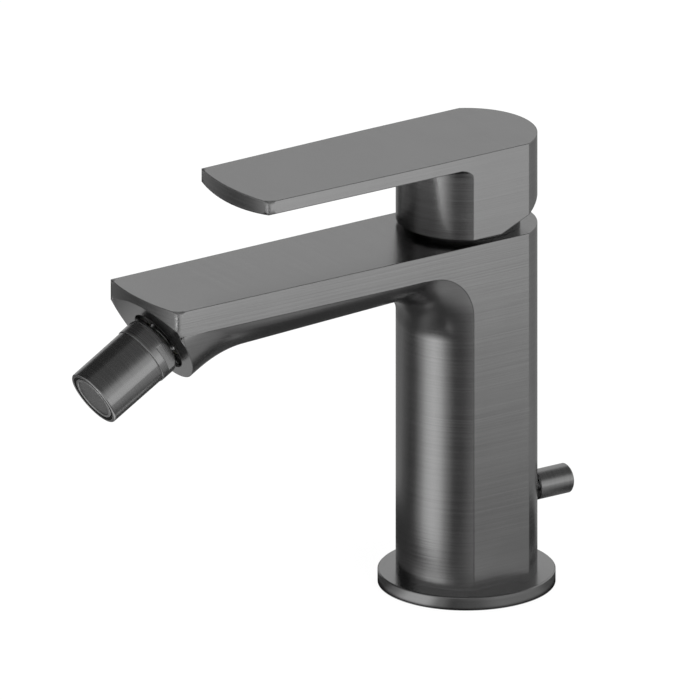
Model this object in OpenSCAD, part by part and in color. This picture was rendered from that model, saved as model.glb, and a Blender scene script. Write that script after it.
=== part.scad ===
// Single-lever bidet mixer with a swivel nozzle and a lift knob for the pop-up waste.
// Millimetres. Z is up, the spout points along -Y and the lift knob along +Y.
// The origin is the middle of the base flange's underside.

/* [Column and flange] */
// Height of the body's flat top above the deck
body_top = 115.5; // [113:0.5:122]
// Diameter of the column's round front and back
column_d = 43; // [42:0.5:45]
// Distance across the column's side flats
column_flats = 38; // [37.5:0.5:40]
// Diameter of the base flange
flange_d = 54; // [50:1:62]
// Thickness of the base flange
flange_t = 4.2; // [3.6:0.1:6]
// Diameter of the hollow core in the lower column
core_d = 30; // [29:0.5:31]
// Height of the core's roof above the deck
core_top = 52; // [50:1:56]
// Wall of the spigot that centres the flange
spigot_wall = 1.4; // [1:0.1:1.8]
// Height of the spigot's end above the deck
spigot_lift = 1; // [0.6:0.1:1.6]
// Width of the rubber gasket in the flange's underside
gasket_w = 3; // [2:0.5:4]
// Thickness of that gasket
gasket_t = 1.6; // [1.2:0.1:2]

/* [Spout] */
// Distance from the column's axis to the spout's front corners
spout_reach = 117.8; // [110:0.2:126]
// Width of the spout at those corners
spout_tip_w = 36.4; // [35:0.1:37.4]
// Bulge of the spout's front face
spout_bulge = 2.3; // [1.5:0.1:3]
// Height of the flat band on the spout's sides
band_h = 8.1; // [7:0.1:9]
// Height of the spout's front face at its corners
front_h = 6.5; // [6:0.1:7]
// Radius of the inside corner between spout and column, on the flats
crook_r = 15; // [13:0.5:17]
// Turn of the inside corner, in degrees
crook_turn = 85; // [83:0.5:86]
// Distance from the axis to the spout's thinnest place
waist_y = 36; // [34:1:40]
// Depth of the spout at its thinnest place
waist_depth = 18.6; // [18.2:0.1:19.2]
// Gain in the spout's depth per millimetre towards the tip
keel_slope = 0.041; // [0.03:0.001:0.05]
// Tilt of the nozzle below the horizontal, in degrees
nozzle_tilt = 30; // [28:1:32]
// Distance down the inclined face from its top corner to the nozzle's axis
nozzle_drop = 10.3; // [10.2:0.1:11.3]
// Distance down the inclined face to the middle of its rounded end
lobe_drop = 2; // [1:0.5:3]
// Length of the inclined face
tip_length = 24.5; // [24:0.1:26]
// Diameter of the water channel in the spout
channel_d = 6.6; // [6:0.1:7]

/* [Handle] */
// Gap between the hub and the body
hub_gap = 1.8; // [1.4:0.1:2.4]
// Height of the hub, blade included
hub_h = 27.2; // [26:0.1:30]
// Wall of the hub
hub_wall = 2.3; // [2:0.1:2.3]
// Distance from the axis to the blade's front corners
blade_reach = 84.6; // [70:0.2:100]
// Width of the blade at those corners
blade_tip_w = 36.4; // [34:0.1:37.4]
// Thickness of the blade at its edges
blade_t = 4.2; // [3.6:0.1:5]
// Bulge of the blade's front edge
blade_bulge = 2.4; // [1.5:0.1:3]
// Crown of the blade's underside
blade_crown = 1; // [0.6:0.1:1.4]
// Fillet between blade and hub
blade_fillet = 3.2; // [2.4:0.1:4]
// Lift of the handle from shut to full flow, in degrees
lift_angle = 23; // [20:1:23]
// Depth of solid metal above the hub's hollow
hub_roof = 11.5; // [11:0.1:12]
// Diameter of the grub screw
grub_d = 5; // [4:0.5:5]
// Length of the grub screw
grub_len = 8; // [6:0.5:10]
// Diameter of the cap over the grub screw
cap_d = 6; // [5.6:0.1:7]
// Thickness of that cap
cap_t = 1.5; // [1.2:0.1:2]

/* [Cartridge] */
// Outer diameter of the cartridge
cartridge_d = 25; // [24.6:0.1:25.4]
// Wall of the cartridge housing
housing_wall = 1.3; // [1.1:0.1:1.4]
// Depth of the cartridge chamber below the body's top
chamber_depth = 18.5; // [18.2:0.1:19]
// Height of the threaded mouth of the chamber
mouth_h = 5; // [4.6:0.1:5.4]
// Height of the plain bore under the threaded mouth
guide_h = 4.5; // [4.3:0.1:4.8]
// Diameter of the wide gallery round the cartridge's foot
gallery_d = 28.4; // [27:0.1:29]
// Outer diameter of the ring nut's thread
nut_d = 30; // [29.6:0.1:30.4]
// Thickness of the ring nut's lip
nut_lip = 2.5; // [2:0.1:2.6]
// Thickness of the cartridge's foot
foot_t = 3.4; // [3.2:0.1:3.8]
// Thickness of the fixed ceramic disc
fixed_t = 3; // [2.6:0.1:3.2]
// Diameter of the fixed ceramic disc
fixed_d = 21.2; // [20.8:0.1:21.4]
// Distance of the disc's inlet ports from its middle
port_reach = 5; // [4.9:0.1:5.1]
// Diameter of those ports
port_d = 2.8; // [2.6:0.1:3]
// Diameter of the disc's outlet port
outlet_d = 4; // [3.6:0.1:4.4]
// Distance of the outlet port behind the disc's middle
outlet_y = 1.5; // [1.3:0.1:1.7]
// Diameter of the mixing pocket in the moving disc
pocket_d = 8.2; // [8:0.1:8.4]
// Thickness of the moving ceramic disc
moving_t = 3.2; // [3:0.1:3.4]
// Diameter of the moving ceramic disc
moving_d = 17.6; // [17:0.1:17.8]
// Thickness of the disc carrier
carrier_t = 5.4; // [5.2:0.1:5.6]
// Thickness of the rotor's flange
rotor_flange_t = 3.3; // [3:0.1:3.5]
// Diameter of the rotor's neck
rotor_neck_d = 15; // [14.8:0.1:15.4]
// Thickness of the housing's shoulder
shoulder_t = 1.4; // [1.2:0.1:1.6]
// Height of the pivot above the housing's shoulder
pivot_rise = 3.7; // [3.6:0.1:4]
// Diameter of the pivot pin
pin_d = 3; // [2.6:0.1:3.2]
// Side of the square stem
stem_w = 6.5; // [6.2:0.1:6.5]
// Distance from the pivot to the ball on the stem's lower end
stem_arm = 11; // [10.9:0.1:11.2]
// Length of the stem above the pivot
stem_rise = 19; // [17:0.5:19.5]
// Diameter of that ball
stem_ball_d = 4.8; // [4.6:0.1:4.8]
// Outer diameter of the cover round the cartridge's neck
cover_d = 32.6; // [32.4:0.1:32.8]

/* [Water ways] */
// Sideways distance of each inlet from the middle
inlet_x = 7; // [6.8:0.1:7.2]
// Distance of the inlets in front of the column's axis
inlet_y = 1; // [0.6:0.1:1.4]
// Bore of each inlet's waterway
inlet_d = 5.6; // [5:0.1:5.8]
// Core diameter of the inlet's thread, M10 by 1
inlet_thread_d = 9; // [8.8:0.1:9.2]
// Length of that thread
inlet_thread_len = 12; // [10:0.5:14]
// Distance of the fixing stud in front of the column's axis
stud_y = 9.5; // [9:0.1:10]
// Core diameter of the stud's thread, M8
stud_thread_d = 6.8; // [6.6:0.1:7]
// Length of that thread
stud_thread_len = 20; // [16:1:26]
// Diameter of the boss that holds the stud
stud_boss_d = 11; // [10.6:0.1:11.4]
// Height of that boss's end above the deck
stud_boss_lift = 6; // [5:0.5:10]

/* [Nozzle] */
// Diameter of the nozzle shell at its outlet
nozzle_d = 18.8; // [18.6:0.1:19]
// Diameter of the nozzle shell at its rear end
nozzle_rear_d = 18.9; // [18.8:0.1:19]
// Length of the nozzle shell
nozzle_len = 20.2; // [19:0.1:24]
// Wall of the nozzle shell at its outlet
nozzle_wall = 1.35; // [1.3:0.05:1.4]
// Diameter of the collar behind the shell
collar_d = 19.4; // [19.2:0.1:19.6]
// Length of that collar
collar_len = 6.8; // [6.4:0.1:7.4]
// Rounding of the collar's rear edge
collar_round = 2.4; // [2.2:0.1:2.6]
// Gap between the collar and the inclined face
collar_gap = 0.6; // [0.5:0.1:0.8]
// Distance across the collar's spanner flats
collar_flats = 17; // [16.8:0.1:17.4]
// Diameter of the ball
ball_d = 13.6; // [13.4:0.1:13.8]
// Distance of the ball's middle behind the inclined face
ball_depth = 5.8; // [5.7:0.1:6]
// Diameter of the ball's neck
neck_d = 9.2; // [8.8:0.1:9.4]
// Bore through the ball
ball_bore = 5.5; // [5:0.1:5.8]
// Thickness of the slip seat round the ball
seat_t = 1.15; // [1.1:0.05:1.2]
// Bore of the socket in the inclined face
socket_d = 20.4; // [20.3:0.1:20.6]
// Depth of the retaining ring's front below the inclined face
ring_recess = 0.9; // [0.9:0.1:1.1]
// Depth of the notches in that ring
notch_depth = 1.3; // [1:0.1:1.4]
// Number of notches in that ring
notch_count = 4; // [3:1:6]
// Width of each raised part of that ring, in degrees
merlon_angle = 42; // [30:1:46]
// Turn of the ring's first raised part from the top, in degrees
ring_turn = 6; // [0:1:20]

/* [Lift knob and rod] */
// Diameter of the lift knob
knob_d = 9.2; // [8:0.1:12]
// Length of the lift knob
knob_len = 12.2; // [10:0.1:16]
// Gap between the column and the knob
knob_gap = 2.8; // [2:0.1:5]
// Height of the knob's axis above the deck, waste open
knob_z = 25.7; // [24:0.1:28]
// Travel of the knob
knob_travel = 16; // [12:1:18]
// Diameter of the stud between knob and rod
knob_stem_d = 4; // [3.6:0.1:4.4]
// Diameter of the lift rod
rod_d = 5; // [4.8:0.1:5.6]
// Distance of the lift rod behind the column's axis
rod_y = 10.5; // [10.3:0.1:10.6]
// Height of the rod's lower end above the deck, waste open
rod_foot = 3; // [2:0.5:5]
// Height of the rod's upper end above the deck, waste open
rod_head = 60; // [58:1:64]
// Core diameter of the thread in the rod's lower end, M4
rod_thread_d = 3.3; // [3.2:0.1:3.4]
// Length of that thread
rod_thread_len = 10; // [8:1:12]
// Wall of the bush round the rod
bush_wall = 1; // [0.8:0.1:1.4]
// Height of the bush's bore
bush_h = 6; // [5:0.5:8]

/* [Fits] */
// Radial gap of a part that turns or slides in another
running_gap = 0.05; // [0.03:0.01:0.08]
// Radial gap of a part that is pushed or screwed into another
seat_gap = 0.05; // [0.03:0.01:0.08]
// Gap between moving parts that never bear on each other
free_gap = 0.3; // [0.25:0.05:0.35]

/* [Hidden] */
$fn = 96;
fine = 240;
eps = 0.01;
over = 1;
// Radial gap of a part that is pressed home
press_gap = 0.02;

gunmetal = "#6c6e6d";
gunmetal_dark = "#4d4f4e";
brass = "#b79a55";
steel = "#b9bcbe";
rubber = "#1c1c1c";
plastic = "#d9d6cc";
ceramic = "#e8e6e0";
mesh_grey = "#8d8f8e";

column_r = column_d / 2;
flat_x = column_flats / 2;
// Distance from the axis to the column's sharp corners, along Y
corner_y = sqrt(pow(column_r, 2) - pow(flat_x, 2));
core_r = core_d / 2;
spigot_r = core_r + spigot_wall;
stud_boss_r = stud_boss_d / 2;

// Middle of the inside corner between spout and column
crook_y = corner_y + crook_r;
crook_z = body_top - band_h - crook_r;
tip_half = spout_tip_w / 2;
nozzle_y = spout_reach - nozzle_drop * sin(nozzle_tilt);
nozzle_z = body_top - front_h - nozzle_drop * cos(nozzle_tilt);
spout_far = spout_reach + spout_bulge + over;

// Levels of the cartridge, from its foot upwards
chamber_z = body_top - chamber_depth;
fixed_z = chamber_z + foot_t;
moving_z = fixed_z + fixed_t;
carrier_z = moving_z + moving_t;
rotor_z = carrier_z + carrier_t + free_gap;
shoulder_z = rotor_z + rotor_flange_t + free_gap + shoulder_t;
pivot_z = shoulder_z + pivot_rise;
mouth_z = body_top - mouth_h;
guide_z = mouth_z - guide_h;
channel_r = channel_d / 2;

cartridge_r = cartridge_d / 2;
housing_inner_r = cartridge_r - housing_wall;
guide_gap = 0.15;
guide_r = cartridge_r + guide_gap;
rotor_neck_r = rotor_neck_d / 2;
neck_wall = 1.8;
housing_neck_r = rotor_neck_r + neck_wall;
// Heights of the housing's neck above the pivot, and of the rotor above that neck
neck_rise = 3.4;
rotor_lip = 0.8;
housing_top = pivot_z + neck_rise;
rotor_top = housing_top + rotor_lip;
nut_r = nut_d / 2;
cover_r = cover_d / 2;
// Inlet ports lie on the diagonals, in front of the axis
port_xy = port_reach * sqrt(0.5);
// Seal round the housing, its groove, and the land between groove and water channel
housing_seal_tube = 0.68;
seal_play = 0.24;
seal_land = 0.7;
seal_rise = 2.1;
seal_groove_z = guide_z + seal_rise;
seal_groove_h = 2 * housing_seal_tube + seal_play;
seal_groove_t = 2 * housing_seal_tube + press_gap + seat_gap - guide_gap;
channel_z = seal_groove_z - seal_land - channel_r;
// Locating pins under the foot and pegs that keep the fixed disc from turning
foot_pin_r = 1.2;
foot_pin_len = 2.5;
foot_pin_y = 9.6;
disc_peg_r = 0.9;
disc_peg_len = 1.2;
disc_peg_xy = 6.4;
// Pegs that turn the moving disc with its carrier
carrier_peg_r = 0.7;
carrier_peg_len = 1.5;
carrier_peg_x = 6.9;
// Shallow way from an inlet in the foot's underside to its port in the disc
foot_way_t = 1.2;
foot_step = 1;
inlet_seal_r = 3.6;
inlet_seal_tube = 0.8;

// The stem leans to the front by half of the lift when the handle is shut
stem_lean = lift_angle / 2;
disc_y = stem_arm * sin(stem_lean);
stem_ball_z = pivot_z - stem_arm * cos(stem_lean);
stem_ball_r = stem_ball_d / 2;
// Room beside the stem and at the ends of its swing, in the rotor's slot
slot_side_gap = 0.2;
slot_end_gap = 0.4;
slot_x = stem_w / 2 + slot_side_gap;
slot_y = stem_w / 2 + (pivot_z - rotor_z) * tan(stem_lean) + slot_end_gap;

hub_z = body_top + hub_gap;
lever_top = hub_z + hub_h;
blade_z = lever_top - blade_t;
// Distance of the screw's axis below the stem's end
grub_drop = 3;
hub_inner_r = column_r - hub_wall;
hub_inner_x = flat_x - hub_wall;
roof_z = lever_top - hub_roof;
grub_z = pivot_z + stem_rise * cos(stem_lean) - grub_drop;
grub_r = grub_d / 2;
grub_tip_r = 0.6 * grub_r;
// Where the screw's tip meets the leaning back of the stem
grub_y = stem_w / 2 / cos(stem_lean) - (grub_z - pivot_z - grub_tip_r) * tan(stem_lean) + seat_gap;
// Height of the start of the stem's socket above the pivot, along the stem
socket_rise = 5;
cap_r = cap_d / 2;
// The cap's flat seat lies deeper than its thickness, because the hub's back is round
cap_sink = 0.4;
cap_y = column_r - cap_t - cap_sink;

ball_r = ball_d / 2;
seat_inner_r = ball_r + running_gap;
seat_outer_r = seat_inner_r + seat_t;
cup_r = seat_outer_r + running_gap;
socket_r = socket_d / 2;
collar_z = collar_gap;
shell_z = collar_z + collar_len;
outlet_z = shell_z + nozzle_len;
shell_bore = nozzle_d / 2 - nozzle_wall;
spigot_len = 6.8;
// Wide end of the water's way in the spigot, and the washer's bore
funnel_r = 5.6;
washer_t = 1.2;
insert_z = shell_z + spigot_len + washer_t;
insert_recess = 0.15;
insert_front = outlet_z - insert_recess;
// Width and length of the step that holds the outlet's seal
seal_step_w = 0.65;
seal_step_len = 2.4;
insert_rim_r = shell_bore - seal_step_w;
insert_lip = 0.8;
mesh_r = insert_rim_r - insert_lip;
mesh_t = 0.6;
mesh_recess = 0.3;
mesh_ledge = 0.6;
insert_bore_r = mesh_r - mesh_ledge;
insert_floor_t = 1;
ball_seal_tube = 0.9;
ball_seal_r = 5;
seal_gap = 0.03;
// Bore behind the ball and its length from the ball's middle
throat_d = 6.4;
throat_len = 14.7;
throat_lap = 3;
channel_end = nozzle_y - (ball_depth + throat_len - throat_lap) * cos(nozzle_tilt);
ball_seal_back = sqrt(pow(ball_r + ball_seal_tube + seal_gap, 2) - pow(ball_seal_r, 2));

rod_r = rod_d / 2;
knob_stem_r = knob_stem_d / 2;
knob_y = column_r + knob_gap;
bush_r = rod_r + running_gap + bush_wall;
bush_z = 8;
web_wall = 1.2;
web_r = bush_r + web_wall;
slot_r = knob_stem_r + free_gap;
// Room above the rod in its highest place
rod_head_gap = 2;

// Half of the spout's width at a distance in front of the axis
function half_w(y) = flat_x - (flat_x - tip_half) * max(0, y - crook_y) / (spout_reach - crook_y);
// Station of the underside at a distance in front of the axis: [distance, depth, radius of its arc]
function station(y) =
    let (depth = waist_depth + keel_slope * (y - waist_y))
    [y, depth, (pow(half_w(y), 2) + pow(depth - band_h, 2)) / (2 * (depth - band_h))];

// Places its children in the socket: Z along the jet, Y up the inclined face
module at_nozzle() {
    translate([0, -nozzle_y, nozzle_z]) rotate([90 + nozzle_tilt, 0, 0]) children();
}

// Turns a shape drawn in Y and Z and extruded along Z so that it runs along X
module along_x() {
    rotate([90, 0, 90]) children();
}

// Plan of the column: a circle with two side flats
module d_plan(r, x) {
    intersection() {
        circle(r = r, $fn = fine);
        square([2 * x, 4 * r], center = true);
    }
}

module ring(outer_r, inner_r, h) {
    difference() {
        cylinder(r = outer_r, h = h);
        translate([0, 0, -over]) cylinder(r = inner_r, h = h + 2 * over);
    }
}

module o_ring(r, tube) {
    rotate_extrude() translate([r, 0]) circle(r = tube, $fn = 32);
}

// Plan of a tapering arm that ends in a shallow arc
module arm_plan(reach, tip_w, bulge) {
    arc_r = (pow(tip_w / 2, 2) + pow(bulge, 2)) / (2 * bulge);
    far = reach + bulge + over;
    far_x = flat_x - (flat_x - tip_w / 2) * (far - crook_y) / (reach - crook_y);
    intersection() {
        polygon([[-flat_x, 0], [flat_x, 0], [flat_x, -crook_y], [far_x, -far], [-far_x, -far],
            [-flat_x, -crook_y]]);
        translate([0, arc_r - reach - bulge]) circle(r = arc_r, $fn = fine);
    }
}

// Long stretch of the spout's rounded underside, from the waist to the tip.
// It starts early, inside the short stretch behind it.
module keel() {
    lap = 12;
    a = station(waist_y);
    b = station(spout_far);
    drop = (b[1] - b[2]) - (a[1] - a[2]);
    run = b[0] - a[0];
    len = norm([run, drop]);
    lap_r = a[2] - (b[2] - a[2]) * lap / len;
    translate([0, -a[0], body_top - a[1] + a[2]]) rotate([90 + atan2(drop, run), 0, 0])
        translate([0, 0, -lap]) cylinder(r1 = lap_r, r2 = b[2], h = len + lap, $fn = fine);
}

// Short stretch between the inside corner and the waist, sunk a little below the corner's end
module throat() {
    sink = 0.1;
    lap = 3;
    translate([0, -crook_y, crook_z - sink]) rotate([crook_turn, 0, 0])
        translate([0, crook_y, -lap]) cylinder(r = column_r, h = 2 * lap + waist_y - crook_y, $fn = fine);
}

// Inside corner: the column's front arc swept almost a quarter turn into the spout
module crook() {
    translate([0, -crook_y, crook_z]) along_x() rotate_extrude(angle = crook_turn, $fn = fine)
        intersection() {
            translate([crook_y, 0]) circle(r = column_r, $fn = fine);
            translate([0, -flat_x]) square([crook_r + band_h - over, 2 * flat_x]);
        }
}

// Rounded end of the spout, parallel to the nozzle
module lobe() {
    lobe_len = 16;
    at_nozzle() translate([0, nozzle_drop - lobe_drop, -lobe_len])
        linear_extrude(lobe_len + over)
        scale([1, (tip_length - lobe_drop) / tip_half]) circle(r = tip_half, $fn = fine);
}

module spout() {
    difference() {
        intersection() {
            translate([0, 0, body_top - 2 * tip_length]) linear_extrude(2 * tip_length)
                arm_plan(spout_reach, spout_tip_w, spout_bulge);
            union() {
                translate([-flat_x - over, -spout_far, body_top - band_h + over])
                    cube([column_flats + 2 * over, spout_far + over, band_h]);
                throat();
                keel();
                lobe();
            }
        }
        at_nozzle() translate([-column_flats, -2 * tip_length, 0])
            cube([2 * column_flats, 4 * tip_length, 2 * tip_length]);
    }
}

module column() {
    translate([0, 0, flange_t]) linear_extrude(body_top - flange_t) d_plan(column_r, flat_x);
    translate([0, 0, spigot_lift]) cylinder(r = spigot_r, h = flange_t - spigot_lift + over);
}

// Hollow of the lower column, with the stud's boss and the rod's web left standing
module core() {
    difference() {
        translate([0, 0, spigot_lift - over]) cylinder(r = core_r, h = core_top - spigot_lift + over);
        translate([0, -stud_y, stud_boss_lift]) cylinder(r = stud_boss_r, h = core_top);
        translate([-stud_boss_r, -core_r - over, stud_boss_lift])
            cube([stud_boss_d, core_r + over - stud_y, core_top]);
        translate([0, rod_y, bush_z]) cylinder(r = web_r, h = bush_h);
        translate([-web_r, rod_y, bush_z]) cube([2 * web_r, core_r, bush_h]);
    }
}

module chamber() {
    translate([0, 0, chamber_z]) cylinder(d = gallery_d, h = guide_z - chamber_z);
    translate([0, 0, guide_z - eps]) cylinder(r = guide_r, h = guide_h + 2 * eps);
    translate([0, 0, seal_groove_z]) cylinder(r = guide_r + seal_groove_t, h = seal_groove_h);
    translate([0, 0, mouth_z]) cylinder(r = nut_r + seat_gap, h = mouth_h + over);
    for (side = [-1, 1])
        translate([0, side * foot_pin_y, chamber_z - foot_pin_len - free_gap])
            cylinder(r = foot_pin_r + seat_gap, h = foot_pin_len + free_gap + eps);
}

module water_ways() {
    for (side = [-1, 1]) translate([side * inlet_x, -inlet_y, 0]) {
        translate([0, 0, core_top - eps]) cylinder(d = inlet_thread_d, h = inlet_thread_len + eps);
        translate([0, 0, core_top]) cylinder(d = inlet_d, h = chamber_z - core_top + eps);
    }
    translate([0, -guide_r + over, channel_z]) rotate([90, 0, 0])
        cylinder(r = channel_r, h = channel_end - guide_r + over);
    at_nozzle() translate([0, 0, -ball_depth - throat_len]) cylinder(d = throat_d, h = throat_len);
}

// Socket for the ball: thread for the ring, cup for the slip seat, groove for the seal
module socket() {
    at_nozzle() {
        translate([0, 0, -ball_depth - eps]) cylinder(r = socket_r, h = ball_depth + over);
        translate([0, 0, -ball_depth]) sphere(r = cup_r, $fn = fine);
        translate([0, 0, -ball_depth - ball_seal_back - ball_seal_tube - seal_gap])
            cylinder(r = ball_seal_r + ball_seal_tube + seat_gap, h = ball_seal_back);
    }
}

module rod_ways() {
    translate([0, rod_y, bush_z - over]) cylinder(r = bush_r + seat_gap, h = bush_h + 2 * over);
    translate([0, rod_y, core_top - eps])
        cylinder(r = rod_r + running_gap, h = rod_head + knob_travel + rod_head_gap - core_top);
    for (z = [knob_z, knob_z + knob_travel])
        translate([0, rod_y, z]) rotate([-90, 0, 0]) cylinder(r = slot_r, h = column_r, $fn = 48);
    translate([-slot_r, rod_y, knob_z]) cube([2 * slot_r, column_r, knob_travel]);
}

module body() {
    color(gunmetal) difference() {
        union() {
            column();
            crook();
            spout();
        }
        core();
        chamber();
        water_ways();
        socket();
        rod_ways();
        translate([0, -stud_y, stud_boss_lift - over])
            cylinder(d = stud_thread_d, h = stud_thread_len + over);
    }
}

module base_flange() {
    rim = 0.3;
    color(gunmetal) difference() {
        union() {
            cylinder(d = flange_d, h = flange_t - rim);
            translate([0, 0, flange_t - rim]) cylinder(d1 = flange_d, d2 = flange_d - 2 * rim, h = rim);
        }
        translate([0, 0, -over]) cylinder(r = spigot_r + seat_gap, h = flange_t + 2 * over);
        translate([0, 0, -over]) base_groove(over + gasket_t);
    }
}

module base_groove(h) {
    margin = 3;
    ring(flange_d / 2 - margin, flange_d / 2 - margin - gasket_w, h);
}

module base_gasket() {
    color(rubber) base_groove(gasket_t);
}

// Blade, with its crowned underside
module blade() {
    crown_r = (pow(blade_tip_w / 2, 2) + pow(blade_crown, 2)) / (2 * blade_crown);
    intersection() {
        translate([0, 0, blade_z - blade_crown - over])
            linear_extrude(blade_t + blade_crown + over)
            arm_plan(blade_reach, blade_tip_w, blade_bulge);
        translate([0, over, blade_z - blade_crown + crown_r]) rotate([90, 0, 0])
            cylinder(r = crown_r, h = blade_reach + blade_bulge + 2 * over, $fn = 720);
    }
}

// Fillet in the corner between the hub's front and the blade, its upper edge sunk in the blade
module hub_fillet() {
    sink = 0.2;
    intersection() {
        translate([0, 0, blade_z + sink - blade_fillet]) rotate_extrude($fn = fine) difference() {
            translate([column_r - over, 0]) square([blade_fillet + over, blade_fillet + eps]);
            translate([column_r + blade_fillet, 0]) circle(r = blade_fillet);
        }
        translate([-flat_x, -2 * column_r, 0]) cube([column_flats, 2 * column_r - corner_y + eps, lever_top]);
    }
}

// Underside of the hub's back, cut so that the handle can tip back
module hub_relief() {
    translate([-column_r, 0, hub_z]) rotate([lift_angle, 0, 0])
        translate([0, 0, -hub_h]) cube([2 * column_r, 3 * column_r, hub_h]);
}

// Hole for the square stem, and the screw's way in from the back
module stem_socket() {
    socket_w = stem_w + 2 * seat_gap;
    translate([0, 0, pivot_z]) rotate([stem_lean, 0, 0])
        translate([-socket_w / 2, -socket_w / 2, socket_rise])
        cube([socket_w, socket_w, stem_rise - socket_rise + free_gap]);
    translate([0, 0, grub_z]) rotate([-90, 0, 0]) cylinder(r = grub_r + seat_gap, h = column_r);
    translate([0, cap_y, grub_z]) rotate([-90, 0, 0]) cylinder(r = cap_r + seat_gap, h = cap_t + over);
}

module lever_handle() {
    boss_rise = 8.2;
    boss_lead = 0.4;
    boss_z = pivot_z + boss_rise;
    boss_y = boss_rise * tan(stem_lean) + boss_lead;
    color(gunmetal) difference() {
        union() {
            difference() {
                union() {
                    translate([0, 0, hub_z]) linear_extrude(hub_h) d_plan(column_r, flat_x);
                    blade();
                    hub_fillet();
                }
                translate([0, 0, hub_z - over]) linear_extrude(roof_z - hub_z + over)
                    d_plan(hub_inner_r, hub_inner_x);
            }
            translate([0, -boss_y, boss_z]) cylinder(r = stem_w, h = roof_z - boss_z + over);
        }
        hub_relief();
        stem_socket();
    }
}

module grub_screw() {
    hex_w = grub_r;
    cone = 1;
    color(steel) translate([0, grub_y, grub_z]) rotate([-90, 0, 0]) difference() {
        union() {
            cylinder(r1 = grub_tip_r, r2 = grub_r, h = cone);
            translate([0, 0, cone]) cylinder(r = grub_r, h = grub_len - cone);
        }
        translate([0, 0, grub_len - grub_r]) cylinder(d = hex_w / cos(30), h = grub_r + over, $fn = 6);
    }
}

module screw_cap() {
    color(gunmetal) intersection() {
        translate([0, cap_y, grub_z]) rotate([-90, 0, 0]) cylinder(r = cap_r, h = cap_t + over);
        translate([0, 0, hub_z]) cylinder(r = column_r, h = hub_h, $fn = fine);
    }
}

// Square stem that swings on the pivot pin and ends in a ball
module lever_stem() {
    neck_top = 7.5;
    neck_share = 0.75;
    lap = 0.5;
    color(steel) translate([0, 0, pivot_z]) rotate([stem_lean, 0, 0]) difference() {
        union() {
            translate([-stem_w / 2, -stem_w / 2, -neck_top]) cube([stem_w, stem_w, neck_top + stem_rise]);
            translate([0, 0, -stem_arm]) cylinder(r = stem_ball_r * neck_share, h = stem_arm - neck_top + lap);
            translate([0, 0, -stem_arm]) sphere(r = stem_ball_r);
        }
        translate([-stem_w, 0, 0]) rotate([0, 90, 0]) cylinder(r = pin_d / 2 + running_gap, h = 2 * stem_w);
    }
}

module neck_cover() {
    wall = 1.1;
    skirt_h = 5.5;
    slope_w = 3.8;
    slope_wall_x = 0.5;
    slope_wall_z = 0.6;
    neck_room = 0.5;
    inner_r = nut_r + seat_gap;
    lip_r = housing_neck_r + neck_room;
    top = housing_top - 2 * seat_gap;
    color(gunmetal_dark) rotate_extrude() polygon([[inner_r, body_top], [cover_r, body_top],
        [cover_r, body_top + skirt_h], [cover_r - slope_w, top], [lip_r, top], [lip_r, top - wall],
        [cover_r - slope_w - slope_wall_x, top - wall], [inner_r, body_top + skirt_h - slope_wall_z]]);
}

module cartridge_nut() {
    notch_w = 4;
    notch_pairs = 3;
    lip_top = shoulder_z + nut_lip;
    color(brass) difference() {
        translate([0, 0, mouth_z + free_gap]) cylinder(r = nut_r, h = lip_top - mouth_z - free_gap);
        translate([0, 0, mouth_z]) cylinder(r = cartridge_r + 2 * seat_gap, h = shoulder_z - mouth_z);
        translate([0, 0, mouth_z]) cylinder(r = housing_neck_r + free_gap, h = lip_top);
        for (k = [1 : notch_pairs]) rotate([0, 0, k * 180 / notch_pairs])
            translate([-nut_r - over, -notch_w / 2, shoulder_z + nut_lip / 2])
            cube([2 * nut_r + 2 * over, notch_w, nut_lip]);
    }
}

module cartridge_housing() {
    skirt_z = chamber_z + foot_t - foot_step;
    window_w = 8;
    window_h = 4.5;
    color(plastic) difference() {
        union() {
            translate([0, 0, skirt_z]) cylinder(r = cartridge_r, h = shoulder_z - skirt_z);
            translate([0, 0, shoulder_z - eps]) cylinder(r = housing_neck_r, h = housing_top - shoulder_z + eps);
        }
        translate([0, 0, skirt_z - over])
            cylinder(r = housing_inner_r, h = shoulder_z - shoulder_t - skirt_z + over);
        translate([0, 0, skirt_z]) cylinder(r = rotor_neck_r + running_gap, h = housing_top);
        translate([-window_w / 2, 0, skirt_z - over]) cube([window_w, 2 * cartridge_r, over + window_h]);
    }
}

module housing_seal() {
    color(rubber) translate([0, 0, seal_groove_z + seal_groove_h / 2])
        o_ring(cartridge_r + press_gap + housing_seal_tube, housing_seal_tube);
}

module cartridge_rotor() {
    flange_r = housing_inner_r - free_gap;
    color(plastic) difference() {
        union() {
            translate([0, 0, rotor_z]) cylinder(r = flange_r, h = rotor_flange_t);
            translate([0, 0, rotor_z]) cylinder(r = rotor_neck_r, h = rotor_top - rotor_z);
        }
        translate([-slot_x, -slot_y, rotor_z - over]) cube([2 * slot_x, 2 * slot_y, rotor_top]);
        translate([-cartridge_r, 0, pivot_z]) rotate([0, 90, 0])
            cylinder(r = pin_d / 2 + press_gap, h = cartridge_d);
    }
}

module pivot_pin() {
    pin_recess = 0.5;
    pin_half = rotor_neck_r - pin_recess;
    color(steel) translate([-pin_half, 0, pivot_z]) rotate([0, 90, 0]) cylinder(d = pin_d, h = 2 * pin_half);
}

module carrier_pegs(gap) {
    for (side = [-1, 1]) translate([side * carrier_peg_x, disc_y, carrier_z - carrier_peg_len - gap])
        cylinder(r = carrier_peg_r + gap, h = carrier_peg_len + gap + eps);
}

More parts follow.
